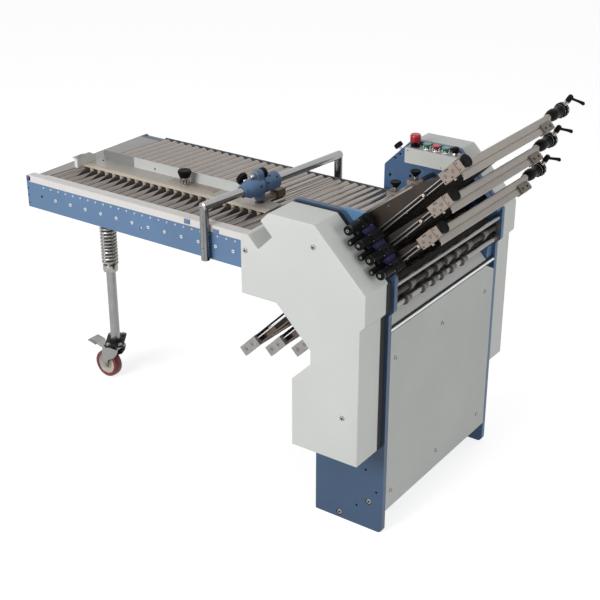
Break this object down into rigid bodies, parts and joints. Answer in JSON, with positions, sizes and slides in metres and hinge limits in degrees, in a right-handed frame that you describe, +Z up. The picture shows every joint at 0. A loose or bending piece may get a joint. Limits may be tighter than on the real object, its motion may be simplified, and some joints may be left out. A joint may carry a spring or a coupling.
{
  "type": "paper folding machine",
  "caption": "Floor-standing buckle folding machine fed by a register table of skewed rollers, with slanted fold plates, a control box and a sprung caster leg.",
  "frame": {"origin": "on the floor, under the middle of the machine's bounding box", "axes": "+X runs with the paper from the roller table to the delivery shafts, +Y goes from the near cover to the far cover, +Z is up"},
  "size_m": [1.6001, 0.841, 1.1799],
  "materials": {
    "blue_paint": "satin blue powder coat",
    "pale_paint": "satin off-white powder coat",
    "grey_paint": "satin light grey powder coat",
    "chrome": "polished chrome plate",
    "roller_steel": "ground steel",
    "dark_plate": "dark burnished coat",
    "cast_beige": "machined aluminium",
    "black_paint": "satin black",
    "black_plastic": "matte black plastic",
    "red_plastic": "gloss red",
    "green_plastic": "gloss green",
    "belt_rubber": "matte black rubber",
    "wheel_urethane": "dark red polyurethane"
  },
  "bodies": {
    "machine_frame": {"near_side_plate": "blue_paint", "far_side_plate": "blue_paint", "near_cover": "pale_paint", "far_cover": "pale_paint", "front_panel": "grey_paint", "delivery_chute": "grey_paint", "delivery_rod": "chrome", "base_tie_beam": "blue_paint", "control_box": "pale_paint", "near_rail": "blue_paint", "far_rail": "blue_paint", "table_end_beam": "grey_paint", "near_top_strip": "pale_paint", "roller_bank": "roller_steel", "bridge_bar": "chrome", "leg_socket": "blue_paint", "leg_spring": "roller_steel", "near_bearing_blocks": "black_paint", "drive_motor": "black_paint", "drive_belt": "belt_rubber", "infeed_hold_down": "cast_beige"},
    "emergency_stop": {"emergency_stop": "red_plastic"},
    "start_button": {"start_button": "green_plastic"},
    "stop_button": {"stop_button": "red_plastic"},
    "jog_button": {"jog_button": "green_plastic"},
    "speed_knob": {"speed_knob": "black_plastic"},
    "upper_plate_1": {"upper_fold_plate_1": "dark_plate", "upper_end_rail_1": "cast_beige"},
    "upper_stop_knob_1": {"upper_stop_knob_1": "black_plastic"},
    "upper_clamp_lever_1": {"upper_clamp_lever_1": "black_plastic"},
    "upper_plate_2": {"upper_fold_plate_2": "dark_plate", "upper_end_rail_2": "cast_beige"},
    "upper_stop_knob_2": {"upper_stop_knob_2": "black_plastic"},
    "upper_clamp_lever_2": {"upper_clamp_lever_2": "black_plastic"},
    "upper_plate_3": {"upper_fold_plate_3": "dark_plate", "upper_end_rail_3": "cast_beige"},
    "upper_stop_knob_3": {"upper_stop_knob_3": "black_plastic"},
    "upper_clamp_lever_3": {"upper_clamp_lever_3": "black_plastic"},
    "lower_plate_1": {"lower_fold_plate_1": "dark_plate"},
    "lower_plate_2": {"lower_fold_plate_2": "dark_plate"},
    "lower_plate_3": {"lower_fold_plate_3": "dark_plate"},
    "side_guide": {"side_guide": "pale_paint", "bridge_clamp": "blue_paint"},
    "guide_knob": {"guide_knob": "black_plastic"},
    "clamp_knob": {"clamp_knob": "black_plastic"},
    "leg": {"leg_tube": "roller_steel"},
    "caster_fork": {"caster_fork": "roller_steel"},
    "caster_wheel": {"caster_wheel": "wheel_urethane"},
    "brake_pedal": {"brake_pedal": "roller_steel"},
    "fold_roller_1": {"fold_roller_1": "roller_steel"},
    "fold_roller_2": {"fold_roller_2": "roller_steel"},
    "fold_roller_3": {"fold_roller_3": "roller_steel"},
    "fold_roller_4": {"fold_roller_4": "roller_steel"},
    "fold_roller_5": {"fold_roller_5": "roller_steel"},
    "fold_roller_6": {"fold_roller_6": "roller_steel"},
    "fold_roller_7": {"fold_roller_7": "roller_steel"},
    "fold_roller_8": {"fold_roller_8": "roller_steel"},
    "upper_delivery_shaft": {"upper_delivery_shaft": "roller_steel"},
    "lower_delivery_shaft": {"lower_delivery_shaft": "roller_steel"},
    "motor_pulley": {"motor_pulley": "roller_steel"}
  },
  "joints": [
    {"name": "emergency_stop_press", "type": "slide", "parent": "machine_frame", "child": "emergency_stop", "axis": [0, 0, -1], "range_m": [0, 0.004], "stiffness_N_per_m": 500, "springref_m": -0.003},
    {"name": "start_button_press", "type": "slide", "parent": "machine_frame", "child": "start_button", "axis": [0, 0, -1], "range_m": [0, 0.004], "stiffness_N_per_m": 300, "springref_m": -0.003},
    {"name": "stop_button_press", "type": "slide", "parent": "machine_frame", "child": "stop_button", "axis": [0, 0, -1], "range_m": [0, 0.004], "stiffness_N_per_m": 300, "springref_m": -0.003},
    {"name": "jog_button_press", "type": "slide", "parent": "machine_frame", "child": "jog_button", "axis": [0, 0, -1], "range_m": [0, 0.004], "stiffness_N_per_m": 300, "springref_m": -0.003},
    {"name": "speed_knob_turn", "type": "hinge", "parent": "machine_frame", "child": "speed_knob", "pos_m": [0.437, 0.2982, 0.96], "axis": [0, 0, 1], "range_deg": [-150, 150]},
    {"name": "upper_plate_1_slide", "type": "slide", "parent": "machine_frame", "child": "upper_plate_1", "axis": [0.7071, 0, 0.7071], "range_m": [0, 0.06]},
    {"name": "upper_stop_knob_1_turn", "type": "hinge", "parent": "upper_plate_1", "child": "upper_stop_knob_1", "pos_m": [0.75865, -0.26875, 1.15472], "axis": [0.7071, 0, 0.7071], "continuous": true},
    {"name": "upper_clamp_lever_1_turn", "type": "hinge", "parent": "upper_plate_1", "child": "upper_clamp_lever_1", "pos_m": [0.74324, 0.353, 1.14661], "axis": [0.515, 0, 0.8572], "range_deg": [-90, 60]},
    {"name": "upper_plate_2_slide", "type": "slide", "parent": "machine_frame", "child": "upper_plate_2", "axis": [0.7071, 0, 0.7071], "range_m": [0, 0.06]},
    {"name": "upper_stop_knob_2_turn", "type": "hinge", "parent": "upper_plate_2", "child": "upper_stop_knob_2", "pos_m": [0.73213, -0.26875, 1.06174], "axis": [0.7071, 0, 0.7071], "continuous": true},
    {"name": "upper_clamp_lever_2_turn", "type": "hinge", "parent": "upper_plate_2", "child": "upper_clamp_lever_2", "pos_m": [0.71672, 0.353, 1.05362], "axis": [0.515, 0, 0.8572], "range_deg": [-90, 60]},
    {"name": "upper_plate_3_slide", "type": "slide", "parent": "machine_frame", "child": "upper_plate_3", "axis": [0.7071, 0, 0.7071], "range_m": [0, 0.06]},
    {"name": "upper_stop_knob_3_turn", "type": "hinge", "parent": "upper_plate_3", "child": "upper_stop_knob_3", "pos_m": [0.70561, -0.26875, 0.96875], "axis": [0.7071, 0, 0.7071], "continuous": true},
    {"name": "upper_clamp_lever_3_turn", "type": "hinge", "parent": "upper_plate_3", "child": "upper_clamp_lever_3", "pos_m": [0.69021, 0.353, 0.96064], "axis": [0.515, 0, 0.8572], "range_deg": [-90, 60]},
    {"name": "lower_plate_1_slide", "type": "slide", "parent": "machine_frame", "child": "lower_plate_1", "axis": [-0.7071, 0, -0.7071], "range_m": [0, 0.06]},
    {"name": "lower_plate_2_slide", "type": "slide", "parent": "machine_frame", "child": "lower_plate_2", "axis": [-0.7071, 0, -0.7071], "range_m": [0, 0.06]},
    {"name": "lower_plate_3_slide", "type": "slide", "parent": "machine_frame", "child": "lower_plate_3", "axis": [-0.7071, 0, -0.7071], "range_m": [0, 0.06]},
    {"name": "side_guide_slide", "type": "slide", "parent": "machine_frame", "child": "side_guide", "axis": [0.1028, 0.9947, 0], "range_m": [-0.115, 0.185]},
    {"name": "guide_knob_turn", "type": "hinge", "parent": "side_guide", "child": "guide_knob", "pos_m": [-0.314, -0.0585, 0.8092], "axis": [0, 0, 1], "continuous": true},
    {"name": "clamp_knob_turn", "type": "hinge", "parent": "side_guide", "child": "clamp_knob", "pos_m": [-0.03597, -0.0775, 0.864], "axis": [-0.9015, 0.0932, 0.4226], "continuous": true},
    {"name": "leg_spring_travel", "type": "slide", "parent": "machine_frame", "child": "leg", "axis": [0, 0, 1], "range_m": [0, 0.03], "stiffness_N_per_m": 6000, "springref_m": -0.1, "deforming": ["leg_spring"]},
    {"name": "caster_swivel", "type": "hinge", "parent": "leg", "child": "caster_fork", "pos_m": [-0.682, -0.0355, 0.1467], "axis": [0, 0, 1], "continuous": true},
    {"name": "caster_roll", "type": "hinge", "parent": "caster_fork", "child": "caster_wheel", "pos_m": [-0.722, -0.0355, 0.05], "axis": [0, 1, 0], "continuous": true},
    {"name": "brake_pedal_press", "type": "hinge", "parent": "caster_fork", "child": "brake_pedal", "pos_m": [-0.73, -0.0355, 0.116], "axis": [0, -1, 0], "range_deg": [0, 10]},
    {"name": "fold_roller_1_turn", "type": "hinge", "parent": "machine_frame", "child": "fold_roller_1", "pos_m": [0.41513, 0.0215, 0.84445], "axis": [0, 1, 0], "continuous": true},
    {"name": "fold_roller_2_turn", "type": "hinge", "parent": "machine_frame", "child": "fold_roller_2", "pos_m": [0.40851, 0.0215, 0.80459], "axis": [0, 1, 0], "continuous": true},
    {"name": "fold_roller_3_turn", "type": "hinge", "parent": "machine_frame", "child": "fold_roller_3", "pos_m": [0.44837, 0.0215, 0.81121], "axis": [0, 1, 0], "continuous": true},
    {"name": "fold_roller_4_turn", "type": "hinge", "parent": "machine_frame", "child": "fold_roller_4", "pos_m": [0.44175, 0.0215, 0.77136], "axis": [0, 1, 0], "continuous": true},
    {"name": "fold_roller_5_turn", "type": "hinge", "parent": "machine_frame", "child": "fold_roller_5", "pos_m": [0.4816, 0.0215, 0.77798], "axis": [0, 1, 0], "continuous": true},
    {"name": "fold_roller_6_turn", "type": "hinge", "parent": "machine_frame", "child": "fold_roller_6", "pos_m": [0.47498, 0.0215, 0.73812], "axis": [0, 1, 0], "continuous": true},
    {"name": "fold_roller_7_turn", "type": "hinge", "parent": "machine_frame", "child": "fold_roller_7", "pos_m": [0.51484, 0.0215, 0.74474], "axis": [0, 1, 0], "continuous": true},
    {"name": "fold_roller_8_turn", "type": "hinge", "parent": "machine_frame", "child": "fold_roller_8", "pos_m": [0.50822, 0.0215, 0.70489], "axis": [0, 1, 0], "continuous": true},
    {"name": "upper_delivery_shaft_turn", "type": "hinge", "parent": "machine_frame", "child": "upper_delivery_shaft", "pos_m": [0.572, 0.0215, 0.75], "axis": [0, 1, 0], "continuous": true},
    {"name": "lower_delivery_shaft_turn", "type": "hinge", "parent": "machine_frame", "child": "lower_delivery_shaft", "pos_m": [0.572, 0.0215, 0.714], "axis": [0, 1, 0], "continuous": true},
    {"name": "motor_pulley_turn", "type": "hinge", "parent": "machine_frame", "child": "motor_pulley", "pos_m": [0.461, -0.3285, 0.38], "axis": [0, 1, 0], "continuous": true}
  ],
  "couplings": [
    {"joint": "fold_roller_1_turn", "follows": "fold_roller_6_turn", "ratio": -1},
    {"joint": "fold_roller_2_turn", "follows": "fold_roller_6_turn", "ratio": 1},
    {"joint": "fold_roller_3_turn", "follows": "fold_roller_6_turn", "ratio": -1},
    {"joint": "fold_roller_4_turn", "follows": "fold_roller_6_turn", "ratio": 1},
    {"joint": "fold_roller_5_turn", "follows": "fold_roller_6_turn", "ratio": -1},
    {"joint": "fold_roller_7_turn", "follows": "fold_roller_6_turn", "ratio": -1},
    {"joint": "fold_roller_8_turn", "follows": "fold_roller_6_turn", "ratio": 1},
    {"joint": "upper_delivery_shaft_turn", "follows": "fold_roller_6_turn", "ratio": -1.1429},
    {"joint": "lower_delivery_shaft_turn", "follows": "fold_roller_6_turn", "ratio": 1.1429},
    {"joint": "motor_pulley_turn", "follows": "fold_roller_6_turn", "ratio": 1.4286}
  ]
}
